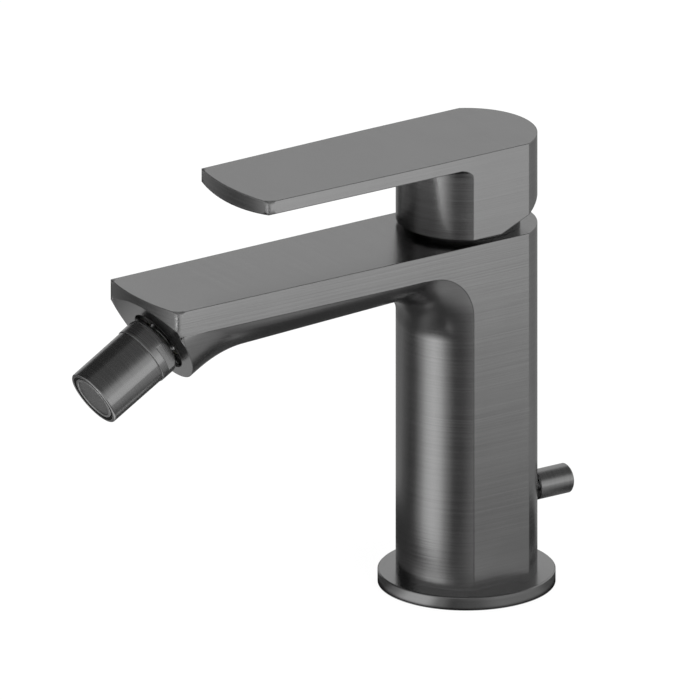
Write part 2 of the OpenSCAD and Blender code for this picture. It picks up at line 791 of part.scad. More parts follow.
module disc_carrier() {
    ball_slot = stem_ball_r + 2 * running_gap;
    ball_dip = 0.5;
    margin = 0.2;
    slot_floor = stem_ball_z - stem_ball_r - ball_dip;
    color(plastic) union() {
        difference() {
            translate([0, disc_y, carrier_z]) cylinder(d = moving_d - 2 * margin, h = carrier_t);
            translate([-ball_slot, disc_y - ball_slot, slot_floor])
                cube([2 * ball_slot, 2 * ball_slot, carrier_t]);
        }
        carrier_pegs(0);
    }
}

// Moving disc, with the mixing pocket in its underside
module moving_disc() {
    pocket_shift = 1;
    pocket_depth = 1.4;
    color(ceramic) difference() {
        translate([0, disc_y, moving_z]) cylinder(d = moving_d, h = moving_t);
        translate([0, disc_y + pocket_shift, moving_z - over]) cylinder(d = pocket_d, h = over + pocket_depth);
        carrier_pegs(seat_gap);
    }
}

// Ports through the fixed disc: two inlets and the outlet behind them
module disc_ports(h) {
    for (side = [-1, 1]) translate([side * port_xy, -port_xy, 0]) cylinder(d = port_d, h = h);
    translate([0, outlet_y, 0]) cylinder(d = outlet_d, h = h);
}

module fixed_disc() {
    color(ceramic) difference() {
        translate([0, 0, fixed_z]) cylinder(d = fixed_d, h = fixed_t);
        translate([0, 0, fixed_z - over]) disc_ports(fixed_t + 2 * over);
        for (side = [-1, 1]) translate([side * disc_peg_xy, disc_peg_xy, fixed_z - over])
            cylinder(r = disc_peg_r + seat_gap, h = over + disc_peg_len + seat_gap);
    }
}

// Shallow stretch from an inlet in the foot's underside to its port in the fixed disc
module foot_way(side) {
    way_x = port_xy - inlet_x;
    way_y = inlet_y - port_xy;
    translate([side * inlet_x, -inlet_y, chamber_z + foot_t - foot_way_t]) rotate([0, 0, atan2(way_y, side * way_x)])
        translate([0, -port_d / 2, 0]) cube([norm([way_x, way_y]), port_d, foot_way_t + over]);
    translate([side * port_xy, -port_xy, chamber_z + foot_t - foot_way_t])
        cylinder(d = port_d, h = foot_way_t + over);
    translate([side * inlet_x, -inlet_y, chamber_z - over])
        cylinder(r = inlet_seal_r - 2 * inlet_seal_tube, h = foot_t + over - foot_way_t / 2);
}

module cartridge_base() {
    groove_t = 2 * inlet_seal_tube + seat_gap;
    color(plastic) difference() {
        union() {
            translate([0, 0, chamber_z]) cylinder(r = cartridge_r, h = foot_t - foot_step);
            translate([0, 0, chamber_z]) cylinder(r = housing_inner_r - seat_gap, h = foot_t);
            for (side = [-1, 1]) translate([0, side * foot_pin_y, chamber_z - foot_pin_len])
                cylinder(r = foot_pin_r, h = foot_pin_len + eps);
            for (side = [-1, 1]) translate([side * disc_peg_xy, disc_peg_xy, fixed_z - eps])
                cylinder(r = disc_peg_r, h = disc_peg_len + eps);
        }
        for (side = [-1, 1]) {
            foot_way(side);
            translate([side * inlet_x, -inlet_y, chamber_z - over])
                ring(inlet_seal_r + inlet_seal_tube + seat_gap, inlet_seal_r - inlet_seal_tube - seat_gap,
                    groove_t + over);
        }
        translate([0, outlet_y, fixed_z - foot_t / 2]) cylinder(d = outlet_d, h = foot_t);
        translate([-outlet_d / 2, outlet_y, fixed_z - foot_t / 2]) cube([outlet_d, cartridge_r, foot_t]);
    }
}

module inlet_seals() {
    color(rubber) for (side = [-1, 1])
        translate([side * inlet_x, -inlet_y, chamber_z + inlet_seal_tube + press_gap])
        o_ring(inlet_seal_r, inlet_seal_tube);
}

module ball_seal() {
    color(rubber) at_nozzle() translate([0, 0, -ball_depth - ball_seal_back])
        o_ring(ball_seal_r, ball_seal_tube);
}

// Slip seat: a zone of a hollow sphere that turns with the ball in its cup
module ball_seat() {
    front = 3.2;
    back = 3;
    color(plastic) at_nozzle() translate([0, 0, -ball_depth]) intersection() {
        difference() {
            sphere(r = seat_outer_r, $fn = fine);
            sphere(r = seat_inner_r, $fn = fine);
        }
        translate([0, 0, -back]) cylinder(r = socket_r, h = front + back);
    }
}

// Castellated ring that holds the ball in its socket
module retaining_ring() {
    front = -ring_recess;
    neck_room = 2;
    mouth_r = neck_d / 2 + neck_room;
    pitch = 360 / notch_count;
    notch_angle = pitch - merlon_angle;
    color(gunmetal) at_nozzle() difference() {
        translate([0, 0, -ball_depth + seat_gap])
            cylinder(r = socket_r - seat_gap, h = front + ball_depth - seat_gap);
        translate([0, 0, -ball_depth]) sphere(r = cup_r, $fn = fine);
        translate([0, 0, -ball_depth]) cylinder(r = mouth_r, h = ball_depth + over);
        for (k = [0 : notch_count - 1])
            translate([0, 0, front - notch_depth]) rotate([0, 0, 90 - ring_turn - pitch * k - pitch / 2])
            rotate([0, 0, -notch_angle / 2]) rotate_extrude(angle = notch_angle)
            translate([mouth_r - over, 0]) square([socket_r, notch_depth + over]);
    }
}

// Ball, neck and collar in one turned piece, bored for the water
module swivel_ball() {
    flat_len = 4.2;
    funnel_len = spigot_len + 2;
    color(gunmetal) at_nozzle() difference() {
        union() {
            translate([0, 0, -ball_depth]) sphere(r = ball_r, $fn = fine);
            translate([0, 0, -ball_depth]) cylinder(d = neck_d, h = ball_depth + collar_z + over);
            rotate_extrude() collar_profile();
        }
        translate([0, 0, -ball_depth - ball_r - over]) cylinder(d = ball_bore, h = outlet_z);
        translate([0, 0, shell_z + spigot_len - funnel_len])
            cylinder(r1 = ball_bore / 2, r2 = funnel_r, h = funnel_len + eps);
        for (side = [-1, 1])
            translate([side * (collar_flats + collar_d) / 2 - collar_d / 2, -collar_d, collar_z - over])
            cube([collar_d, 2 * collar_d, flat_len + over]);
    }
}

// Half section of the collar and of its threaded spigot
module collar_profile() {
    r = collar_d / 2;
    difference() {
        union() {
            translate([0, collar_z]) square([r, collar_len]);
            translate([0, collar_z]) square([shell_bore - seat_gap, collar_len + spigot_len]);
        }
        difference() {
            translate([r - collar_round, collar_z - over]) square([collar_round + over, collar_round + over]);
            translate([r - collar_round, collar_z + collar_round]) circle(r = collar_round);
        }
    }
}

module nozzle_shell() {
    rim = 0.45;
    front_r = nozzle_d / 2;
    color(gunmetal) at_nozzle() rotate_extrude() union() {
        polygon([[shell_bore, shell_z], [nozzle_rear_d / 2, shell_z], [front_r, outlet_z - rim],
            [front_r - rim, outlet_z - rim], [front_r - rim, outlet_z], [shell_bore + rim, outlet_z],
            [shell_bore, outlet_z - rim]]);
        translate([front_r - rim, outlet_z - rim]) circle(r = rim, $fn = 32);
    }
}

module nozzle_washer() {
    color(rubber) at_nozzle() translate([0, 0, shell_z + spigot_len])
        ring(shell_bore - 2 * seat_gap, funnel_r, washer_t);
}

module aerator_insert() {
    floor_ledge = 1;
    step_z = insert_front - seal_step_len;
    color(steel) at_nozzle() difference() {
        union() {
            translate([0, 0, insert_z]) cylinder(r = shell_bore - seat_gap, h = step_z - insert_z);
            translate([0, 0, insert_z]) cylinder(r = insert_rim_r, h = insert_front - insert_z);
        }
        translate([0, 0, insert_z + insert_floor_t]) cylinder(r = insert_bore_r, h = outlet_z);
        translate([0, 0, insert_z - over]) cylinder(r = insert_bore_r - floor_ledge, h = outlet_z);
        translate([0, 0, insert_front - mesh_recess - mesh_t]) cylinder(r = mesh_r, h = outlet_z);
    }
}

module aerator_mesh() {
    color(mesh_grey) at_nozzle() translate([0, 0, insert_front - mesh_recess - mesh_t])
        cylinder(r = mesh_r - press_gap, h = mesh_t);
}

module flow_regulator() {
    hole_count = 8;
    hole_r = 0.7;
    hole_margin = 1.5;
    plate_t = 2.5;
    plate_r = insert_bore_r - seat_gap;
    color(plastic) at_nozzle() translate([0, 0, insert_z + insert_floor_t]) difference() {
        cylinder(r = plate_r, h = plate_t);
        for (k = [1 : hole_count]) rotate([0, 0, k * 360 / hole_count])
            translate([plate_r - hole_margin - hole_r, 0, -over])
            cylinder(r = hole_r, h = plate_t + 2 * over, $fn = 24);
    }
}

module outlet_seal() {
    front_gap = 0.1;
    color(rubber) at_nozzle() translate([0, 0, insert_front - seal_step_len])
        ring(shell_bore - press_gap, insert_rim_r + press_gap, seal_step_len - front_gap);
}

module lift_knob() {
    rim = 0.4;
    hole_len = knob_len / 2;
    color(gunmetal) translate([0, knob_y, knob_z]) rotate([-90, 0, 0]) difference() {
        union() {
            cylinder(d1 = knob_d - 2 * rim, d2 = knob_d, h = rim);
            translate([0, 0, rim]) cylinder(d = knob_d, h = knob_len - 2 * rim);
            translate([0, 0, knob_len - rim]) cylinder(d1 = knob_d, d2 = knob_d - 2 * rim, h = rim);
        }
        translate([0, 0, -over]) cylinder(r = knob_stem_r + press_gap, h = over + hole_len);
    }
}

module knob_stem() {
    end_gap = 0.5;
    stem_end = knob_y + knob_len / 2 - end_gap;
    color(steel) translate([0, rod_y, knob_z]) rotate([-90, 0, 0])
        cylinder(r = knob_stem_r, h = stem_end - rod_y);
}

module lift_rod() {
    eye_wall = 1;
    eye_r = rod_r + eye_wall;
    color(steel) difference() {
        union() {
            translate([0, rod_y, rod_foot]) cylinder(r = rod_r, h = rod_head - rod_foot);
            translate([0, rod_y, knob_z - eye_r - eye_wall]) cylinder(r = eye_r, h = 2 * (eye_r + eye_wall));
        }
        translate([0, rod_y, knob_z]) rotate([-90, 0, 0]) cylinder(r = knob_stem_r + press_gap, h = 2 * eye_r);
        translate([0, rod_y, rod_foot - over]) cylinder(d = rod_thread_d, h = rod_thread_len + over);
    }
}

module rod_bush() {
    lip_t = 1.2;
    lip_w = 0.75;
    lip_r = bush_r + lip_w;
    color(plastic) translate([0, rod_y, 0]) difference() {
        union() {
            translate([0, 0, bush_z]) cylinder(r = bush_r, h = bush_h);
            translate([0, 0, bush_z - lip_t]) cylinder(r = lip_r, h = lip_t);
        }
        translate([0, 0, bush_z - lip_t - over]) cylinder(r = rod_r + running_gap, h = bush_h + lip_t + 2 * over);
    }
}

body();
base_flange();
base_gasket();
lever_handle();
grub_screw();
screw_cap();
lever_stem();
neck_cover();
cartridge_nut();
cartridge_housing();
housing_seal();
cartridge_rotor();
pivot_pin();
disc_carrier();
moving_disc();
fixed_disc();
cartridge_base();
inlet_seals();
ball_seal();
ball_seat();
retaining_ring();
swivel_ball();
nozzle_shell();
nozzle_washer();
flow_regulator();
aerator_insert();
aerator_mesh();
outlet_seal();
lift_knob();
knob_stem();
lift_rod();
rod_bush();
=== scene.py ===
"""Single-lever bidet mixer in brushed gunmetal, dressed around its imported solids."""

import math

import bmesh
import bpy
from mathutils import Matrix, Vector


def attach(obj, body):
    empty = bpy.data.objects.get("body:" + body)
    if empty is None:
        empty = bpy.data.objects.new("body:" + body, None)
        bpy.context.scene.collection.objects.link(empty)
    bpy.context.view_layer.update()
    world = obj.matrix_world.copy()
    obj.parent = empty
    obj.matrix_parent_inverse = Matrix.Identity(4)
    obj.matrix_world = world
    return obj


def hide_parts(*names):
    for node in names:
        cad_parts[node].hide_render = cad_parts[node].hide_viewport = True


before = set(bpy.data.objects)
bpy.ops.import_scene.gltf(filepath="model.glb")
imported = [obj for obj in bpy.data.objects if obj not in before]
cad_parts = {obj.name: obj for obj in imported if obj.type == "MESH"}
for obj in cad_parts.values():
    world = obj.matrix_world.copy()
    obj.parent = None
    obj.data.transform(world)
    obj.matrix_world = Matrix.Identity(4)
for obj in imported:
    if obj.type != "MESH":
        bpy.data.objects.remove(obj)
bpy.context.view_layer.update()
scene = bpy.context.scene

# Sizes of the body that its smooth underside needs, in millimetres, y counted towards the tip
MM = 0.001
BODY_TOP = 115.5
FLANGE_T = 4.2
COLUMN_R = 21.5
FLAT_X = 19.0
BAND_Z = 107.4  # lower edge of the spout's flat sides
TIP_HALF = 18.2
REACH = 117.8
BULGE = 2.3
FACE_TOP_Z = 109.0
NOZZLE_TILT = math.radians(30)
NOZZLE_DROP = 10.3
SOCKET_R = 10.2

# The solid's inside corner between column and spout, and its keel and lobe under the spout
CROOK_Y = 25.06
CROOK_Z = 92.4
CROOK_TURN = math.radians(85)
WAIST_Y = 36.0
WAIST_DEPTH = 18.6
KEEL_SLOPE = 0.041
LOBE_DROP = 2.0
TIP_LENGTH = 24.5

# The fuller blends of the smooth underside
LOBE_BLEND = 4.4
CROOK_R_FRONT = 11.5
CROOK_R_FLAT = 15.0

JET = Vector((0, -math.cos(NOZZLE_TILT), -math.sin(NOZZLE_TILT)))
UP_FACE = Vector((0, -math.sin(NOZZLE_TILT), math.cos(NOZZLE_TILT)))


# ---- Shader helpers

def node(tree, kind, **values):
    made = tree.nodes.new(kind)
    for key, value in values.items():
        setattr(made, key, value)
    return made


def feed(tree, socket, value):
    """Sets a socket to a value, or links another node's output to it."""
    if isinstance(value, bpy.types.NodeSocket):
        tree.links.new(value, socket)
    else:
        socket.default_value = value


def math_node(tree, operation, *values):
    made = node(tree, "ShaderNodeMath", operation=operation)
    for index, value in enumerate(values):
        feed(tree, made.inputs[index], value)
    return made.outputs[0]


def weighted_sum(tree, first, first_share, second, second_share):
    return math_node(tree, "ADD", math_node(tree, "MULTIPLY", first, first_share),
                     math_node(tree, "MULTIPLY", second, second_share))


def vector_node(tree, operation, *values, scale=None):
    made = node(tree, "ShaderNodeVectorMath", operation=operation)
    for index, value in enumerate(values):
        feed(tree, made.inputs[index], value)
    if scale is not None:
        feed(tree, made.inputs["Scale"], scale)
    return made.outputs["Value" if operation in ("DOT_PRODUCT", "DISTANCE") else "Vector"]


def map_range(tree, value, low, high, to_low, to_high, smooth=True):
    made = node(tree, "ShaderNodeMapRange", clamp=True)
    made.interpolation_type = "SMOOTHSTEP" if smooth else "LINEAR"
    tree.links.new(value, made.inputs["Value"])
    for name, number in (("From Min", low), ("From Max", high), ("To Min", to_low), ("To Max", to_high)):
        feed(tree, made.inputs[name], number)
    return made.outputs["Result"]


def parts_of(tree, vector):
    """A vector's parts, as outputs named X, Y and Z."""
    split = node(tree, "ShaderNodeSeparateXYZ")
    tree.links.new(vector, split.inputs[0])
    return split.outputs


def place_on_piece(tree):
    return node(tree, "ShaderNodeTexCoord").outputs["Object"]


def noise(tree, vector, scale, detail=2.0, roughness=0.5):
    made = node(tree, "ShaderNodeTexNoise")
    for name, value in (("Vector", vector), ("Scale", scale), ("Detail", detail), ("Roughness", roughness)):
        feed(tree, made.inputs[name], value)
    return made.outputs["Fac"]


def new_group(name, inputs, outputs):
    tree = bpy.data.node_groups.new(name, "ShaderNodeTree")
    for label, kind, value in inputs:
        socket = tree.interface.new_socket(label, in_out="INPUT", socket_type=kind)
        socket.default_value = value
    for label, kind in outputs:
        tree.interface.new_socket(label, in_out="OUTPUT", socket_type=kind)
    return tree, node(tree, "NodeGroupInput"), node(tree, "NodeGroupOutput")


def place(tree, group, **values):
    made = node(tree, "ShaderNodeGroup", node_tree=group)
    for key, value in values.items():
        made.inputs[key].default_value = value
    return made


# ---- Shared effects

NOISE_SPAN = (0.3, 0.7)  # where nearly all of a noise lies


def make_brush_lines():
    """Fine lines that run square to an axis: close together along it, long across it."""
    tree, given, out = new_group(
        "brush_lines",
        [("Axis", "NodeSocketVector", (0, 0, 1)), ("Fineness", "NodeSocketFloat", 2600.0),
         ("Length", "NodeSocketFloat", 14.0)],
        [("Lines", "NodeSocketFloat")])
    place_in = place_on_piece(tree)
    axis = given.outputs["Axis"]
    along = vector_node(tree, "DOT_PRODUCT", place_in, axis)
    packed = math_node(tree, "MULTIPLY", along, given.outputs["Fineness"])
    fine = vector_node(tree, "SCALE", axis, scale=packed)
    slow = vector_node(tree, "SCALE", place_in, scale=given.outputs["Length"])
    spread = vector_node(tree, "ADD", fine, slow)
    close = noise(tree, spread, 1.0, 3.0, 0.65)
    wide = noise(tree, vector_node(tree, "SCALE", spread, scale=0.3), 1.0, 2.0, 0.6)
    mixed = weighted_sum(tree, close, 0.85, wide, 0.15)
    tree.links.new(map_range(tree, mixed, *NOISE_SPAN, 0.0, 1.0, smooth=False), out.inputs["Lines"])
    return tree


LEVEL_FROM = 0.75  # upward part of the normal from which a face counts as level


def make_lie_of_brush():
    """Axis of the brushing: front to back on level faces, upright on the others."""
    tree, _, out = new_group("lie_of_brush", [], [("Axis", "NodeSocketVector")])
    rise = parts_of(tree, node(tree, "ShaderNodeTexCoord").outputs["Normal"])["Z"]
    level = math_node(tree, "GREATER_THAN", math_node(tree, "ABSOLUTE", rise), LEVEL_FROM)
    join = node(tree, "ShaderNodeCombineXYZ")
    tree.links.new(level, join.inputs["Y"])
    tree.links.new(math_node(tree, "SUBTRACT", 1.0, level), join.inputs["Z"])
    tree.links.new(join.outputs[0], out.inputs["Axis"])
    return tree


# Agreement of the rounded normal with the flat one, away from an edge and well on it
OFF_EDGE = 0.999
ON_EDGE = 0.93


def make_edge_wear_and_painted_light():
    """Rounded normal at sharp edges, and a mask of those edges, along which another tone is painted: lighter
    for wear and a painted highlight, darker for painted shade.
    """
    tree, given, out = new_group(
        "edge_wear_and_painted_light", [("Radius", "NodeSocketFloat", 0.0004)],
        [("Edge", "NodeSocketFloat"), ("Normal", "NodeSocketVector")])
    bevel = node(tree, "ShaderNodeBevel", samples=6)
    tree.links.new(given.outputs["Radius"], bevel.inputs["Radius"])
    flat = node(tree, "ShaderNodeNewGeometry").outputs["Normal"]
    same = vector_node(tree, "DOT_PRODUCT", bevel.outputs["Normal"], flat)
    tree.links.new(map_range(tree, same, OFF_EDGE, ON_EDGE, 0.0, 1.0), out.inputs["Edge"])
    tree.links.new(bevel.outputs["Normal"], out.inputs["Normal"])
    return tree


# Where the upright corners of spout and blade start and are full, in metres
CORNER_X = (0.0155, 0.0172)
SPOUT_END_Y = (-0.1145, -0.116)
BLADE_END_Y = (-0.0815, -0.083)
BLADE_LOW_Z = 0.13


def make_corner_radius():
    """Radius of the rounded edges: none at the foot, larger at the upright corners of spout and blade."""
    tree, given, out = new_group(
        "corner_radius", [("Edge", "NodeSocketFloat", 0.0004), ("Corner", "NodeSocketFloat", 0.0022),
                          ("Foot", "NodeSocketFloat", 0.0055)],
        [("Radius", "NodeSocketFloat")])
    parts = parts_of(tree, place_on_piece(tree))
    side = map_range(tree, math_node(tree, "ABSOLUTE", parts["X"]), *CORNER_X, 0.0, 1.0)
    spout_end = map_range(tree, parts["Y"], *SPOUT_END_Y, 0.0, 1.0)
    blade_end = math_node(tree, "MULTIPLY", map_range(tree, parts["Y"], *BLADE_END_Y, 0.0, 1.0),
                          math_node(tree, "GREATER_THAN", parts["Z"], BLADE_LOW_Z))
    mask = math_node(tree, "MULTIPLY", side, math_node(tree, "MAXIMUM", spout_end, blade_end))
    rounded = map_range(tree, mask, 0.0, 1.0, given.outputs["Edge"], given.outputs["Corner"])
    above_foot = math_node(tree, "GREATER_THAN", parts["Z"], given.outputs["Foot"])
    tree.links.new(math_node(tree, "MULTIPLY", rounded, above_foot), out.inputs["Radius"])
    return tree


def make_cloudiness():
    """Slow, faint change over a surface, as plating and handling leave it."""
    tree, given, out = new_group(
        "cloudiness", [("Size", "NodeSocketFloat", 60.0)], [("Cloud", "NodeSocketFloat")])
    cloud = noise(tree, place_on_piece(tree), given.outputs["Size"], 3.0)
    tree.links.new(map_range(tree, cloud, *NOISE_SPAN, 0.0, 1.0), out.inputs["Cloud"])
    return tree


BRUSH_LINES = make_brush_lines()
LIE_OF_BRUSH = make_lie_of_brush()
EDGE_WEAR_AND_PAINTED_LIGHT = make_edge_wear_and_painted_light()
CORNER_RADIUS = make_corner_radius()
CLOUDINESS = make_cloudiness()


# ---- Finishes

UPRIGHT = (0, 0, 1)
ALONG_KNOB = (0, 1, 0)

# Depths, edges and the wires' pitch are in metres
BRUSH_LENGTH = 14.0
BRUSH_BUMP = 0.05
BRUSH_DEPTH = 0.0002
GRAIN_SCALE = 800.0
GRAIN_DEPTH = 0.0001
MOULDED_EDGE = 0.00015
WIRE_PITCH = 0.0005
METAL_CLOUD = 55.0
PLAIN_CLOUD = 120.0
GRAZING_TINT = 0.7  # of metal seen at a low angle
FINE_EDGE_LIMIT = 1.5  # above it the radius is an upright corner's, which keeps its tone


def grey(tone):
    return (tone, tone, tone)


def colour_between(tree, factor, first, second):
    """Mix of two colours, each a fixed one or another node's."""
    mix = node(tree, "ShaderNodeMix", data_type="RGBA")
    tree.links.new(factor, mix.inputs["Factor"])
    for label, colour in (("A", first), ("B", second)):
        feed(tree, mix.inputs[label], (*colour, 1) if isinstance(colour, tuple) else colour)
    return mix.outputs["Result"]


def add_relief(tree, shader, height, strength, depth, normal=None):
    relief = node(tree, "ShaderNodeBump")
    relief.inputs["Strength"].default_value = strength
    relief.inputs["Distance"].default_value = depth
    tree.links.new(height, relief.inputs["Height"])
    if normal is not None:
        tree.links.new(normal, relief.inputs["Normal"])
    tree.links.new(relief.outputs["Normal"], shader.inputs["Normal"])


def new_finish(name):
    made = bpy.data.materials.new(name)
    made.use_nodes = True
    tree = made.node_tree
    shader = next(n for n in tree.nodes if n.type == "BSDF_PRINCIPLED")
    return made, tree, shader


def brushed_metal(name, dark, light, axis=None, fineness=2600.0, rough=(0.2, 0.27),
                  edge_radius=0.0004, edge_tone=0.5, edge_share=0.15, foot=None):
    """Brushed plating: fine lines in colour, roughness and relief, and another tone along its edges: by
    default a lighter one, for wear and a painted highlight, and on the gunmetal a dark one, as painted
    shade.
    """
    made, tree, shader = new_finish(name)
    lines = place(tree, BRUSH_LINES, Fineness=fineness, Length=BRUSH_LENGTH)
    if axis is None:
        tree.links.new(place(tree, LIE_OF_BRUSH).outputs["Axis"], lines.inputs["Axis"])
    else:
        lines.inputs["Axis"].default_value = axis
    edges = place(tree, EDGE_WEAR_AND_PAINTED_LIGHT, Radius=edge_radius)
    along_edge = math_node(tree, "MULTIPLY", edges.outputs["Edge"], edge_share)
    if foot is not None:
        radius = place(tree, CORNER_RADIUS, Edge=edge_radius, Foot=foot).outputs["Radius"]
        tree.links.new(radius, edges.inputs["Radius"])
        fine_edge = math_node(tree, "LESS_THAN", radius, edge_radius * FINE_EDGE_LIMIT)
        along_edge = math_node(tree, "MULTIPLY", along_edge, fine_edge)
    cloud = place(tree, CLOUDINESS, Size=METAL_CLOUD)
    tone = weighted_sum(tree, lines.outputs["Lines"], 0.8, cloud.outputs["Cloud"], 0.2)
    brushed = colour_between(tree, tone, dark, light)
    # the edges' other tone: wear and a painted highlight where it is lighter, painted shade where it is
    # darker
    tree.links.new(colour_between(tree, along_edge, brushed, grey(edge_tone)), shader.inputs["Base Color"])
    tree.links.new(map_range(tree, tone, 0.0, 1.0, *rough), shader.inputs["Roughness"])
    shader.inputs["Metallic"].default_value = 1.0
    shader.inputs["Specular Tint"].default_value = (*grey(GRAZING_TINT), 1)
    add_relief(tree, shader, lines.outputs["Lines"], BRUSH_BUMP, BRUSH_DEPTH, edges.outputs["Normal"])
    return made


def plain_finish(name, dark, light, rough, specular=0.5, bump=0.05):
    """Moulded, lapped or turned surface with a slight cloud in its colour and a fine grain."""
    made, tree, shader = new_finish(name)
    cloud = place(tree, CLOUDINESS, Size=PLAIN_CLOUD)
    tree.links.new(colour_between(tree, cloud.outputs["Cloud"], dark, light), shader.inputs["Base Color"])
    tree.links.new(map_range(tree, cloud.outputs["Cloud"], 0.0, 1.0, *rough), shader.inputs["Roughness"])
    shader.inputs["Specular IOR Level"].default_value = specular
    fine = noise(tree, place_on_piece(tree), GRAIN_SCALE)
    edges = place(tree, EDGE_WEAR_AND_PAINTED_LIGHT, Radius=MOULDED_EDGE)
    add_relief(tree, shader, fine, bump, GRAIN_DEPTH, edges.outputs["Normal"])
    return made


def woven_wire(name):
    """Fine wire cloth: two sets of wires that pass over and under each other."""
    made, tree, shader = new_finish(name)
    place_in = place_on_piece(tree)
    across = vector_node(tree, "DOT_PRODUCT", place_in, (1, 0, 0))
    up = vector_node(tree, "DOT_PRODUCT", place_in, UP_FACE)
    wires = [math_node(tree, "SINE", math_node(tree, "MULTIPLY", value, math.tau / WIRE_PITCH))
             for value in (across, up)]
    weave = math_node(tree, "MAXIMUM", *wires)
    # darker between the wires: painted shade in the cloth's openings
    tree.links.new(colour_between(tree, map_range(tree, weave, -0.6, 0.8, 0.0, 1.0), grey(0.03), grey(0.11)),
                   shader.inputs["Base Color"])
    tree.links.new(map_range(tree, weave, -1.0, 1.0, 0.6, 0.4), shader.inputs["Roughness"])
    shader.inputs["Metallic"].default_value = 0.6
    add_relief(tree, shader, weave, 0.3, GRAIN_DEPTH)
    return made


GUNMETAL = (grey(0.2), grey(0.245))
# painted shade: dark lines along the gunmetal's sharp edges
PAINTED_EDGE_SHADE = {"edge_tone": 0.03, "edge_share": 0.6}
NOZZLE_BRUSH = {"axis": JET, "fineness": 2200.0, "rough": (0.22, 0.3)}

gunmetal = brushed_metal("brushed_gunmetal", *GUNMETAL, foot=0.0055, **PAINTED_EDGE_SHADE)
gunmetal_turned = brushed_metal("turned_gunmetal", *GUNMETAL, axis=UPRIGHT, foot=0.002, **PAINTED_EDGE_SHADE)
gunmetal_nozzle = brushed_metal("turned_gunmetal_nozzle", *GUNMETAL, **NOZZLE_BRUSH)
gunmetal_ring = brushed_metal("turned_gunmetal_ring", *GUNMETAL, edge_radius=0.0001, edge_share=0.0,
                              **NOZZLE_BRUSH)
gunmetal_knob = brushed_metal("turned_gunmetal_knob", *GUNMETAL, axis=ALONG_KNOB, fineness=2200.0)
# the neck's cover: the same gunmetal in a darker copy, as painted shade under the lever's hub
shaded_neck_finish = brushed_metal("cover_gunmetal_painted_shade", grey(0.13), grey(0.16), axis=UPRIGHT, edge_share=0.1)
bare_brass = brushed_metal("bare_brass", (0.5, 0.38, 0.17), (0.62, 0.49, 0.24), axis=UPRIGHT,
                           fineness=2000.0, rough=(0.22, 0.34))
plain_steel = brushed_metal("plain_steel", (0.46, 0.46, 0.47), (0.6, 0.6, 0.61), axis=UPRIGHT,
                            fineness=1800.0, rough=(0.22, 0.34))
steel_insert = brushed_metal("steel_insert", grey(0.28), grey(0.36), axis=JET, fineness=2200.0,
                             rough=(0.3, 0.4))
black_rubber = plain_finish("black_rubber", grey(0.003), grey(0.006), rough=(0.6, 0.75), specular=0.06)
ivory_plastic = plain_finish("ivory_acetal", (0.62, 0.6, 0.52), (0.72, 0.7, 0.62), rough=(0.38, 0.5))
lapped_ceramic = plain_finish("lapped_ceramic", (0.74, 0.72, 0.68), (0.82, 0.8, 0.76),
                              rough=(0.12, 0.2), bump=0.02)
wire_cloth = woven_wire("wire_cloth")

FINISH_OF_NODE = {
    "body": gunmetal,
    "base_flange": gunmetal_turned,
    "base_gasket": black_rubber,
    "lever_handle": gunmetal,
    "grub_screw": plain_steel,
    "screw_cap": gunmetal,
    "lever_stem": plain_steel,
    "neck_cover": shaded_neck_finish,
    "cartridge_nut": bare_brass,
    "cartridge_housing": ivory_plastic,
    "housing_seal": black_rubber,
    "cartridge_rotor": ivory_plastic,
    "pivot_pin": plain_steel,
    "disc_carrier": ivory_plastic,
    "moving_disc": lapped_ceramic,
    "fixed_disc": lapped_ceramic,
    "cartridge_base": ivory_plastic,
    "inlet_seals": black_rubber,
    "ball_seal": black_rubber,
    "ball_seat": ivory_plastic,
    "retaining_ring": gunmetal_ring,
    "swivel_ball": gunmetal_nozzle,
    "nozzle_shell": gunmetal_nozzle,
    "nozzle_washer": black_rubber,
    "flow_regulator": ivory_plastic,
    "aerator_insert": steel_insert,
    "aerator_mesh": wire_cloth,
    "outlet_seal": black_rubber,
    "lift_knob": gunmetal_knob,
    "knob_stem": plain_steel,
    "lift_rod": plain_steel,
    "rod_bush": ivory_plastic,
}


def objects_of(name):
    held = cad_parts[name]
    return list(held) if isinstance(held, (list, tuple)) else [held]


def dress_solids():
    for name, finish in FINISH_OF_NODE.items():
        for solid in objects_of(name):
            solid.data.materials.clear()
            solid.data.materials.append(finish)


# ---- Body with its smooth underside

FRONT_Y = 10.0  # nothing behind it is replaced
SIDEWAYS = 0.99  # sideways part of the normal from which a face counts as a flat
MERGE_GAP = 1e-6

# How near to the solid's own faces a point counts as part of them, in millimetres
NEAR_FACE = 0.05
NEAR_FLAT = 0.04
NEAR_COLUMN = 0.15
NEAR_CROOK = 0.6
NEAR_RUN = 0.7
NEAR_LOBE = 0.04  # a share of the lobe's half width

# Steps of the smooth underside: up the column, round the corner, along the spout and across it
COLUMN_STEPS = 4
CROOK_STEPS = 24
RUN_STEPS = 110
ACROSS_STEPS = 64
FACE_TURNS = 240
ARC_STEPS = 80
CUT_FROM_Y = 80.0
CUT_HALVINGS = 40
SHARP_EDGE = math.radians(18)


def half_width(y):
    return FLAT_X - (FLAT_X - TIP_HALF) * max(0.0, y - CROOK_Y) / (REACH - CROOK_Y)


def soft_min(a, b, reach):
    """The smaller of two heights, with a round blend where they are near each other."""
    overlap = max(reach - abs(a - b), 0.0) / reach
    return min(a, b) - overlap * overlap * reach / 4


def throat_z(x, y):
    """Height of the solid's inside corner, run on as a plane beyond its turn."""
    radius = CROOK_Y - math.sqrt(COLUMN_R ** 2 - min(abs(x), FLAT_X) ** 2)
    start = CROOK_Y - radius * math.cos(CROOK_TURN)
    return CROOK_Z + radius * math.sin(CROOK_TURN) + (y - start) / math.tan(CROOK_TURN)


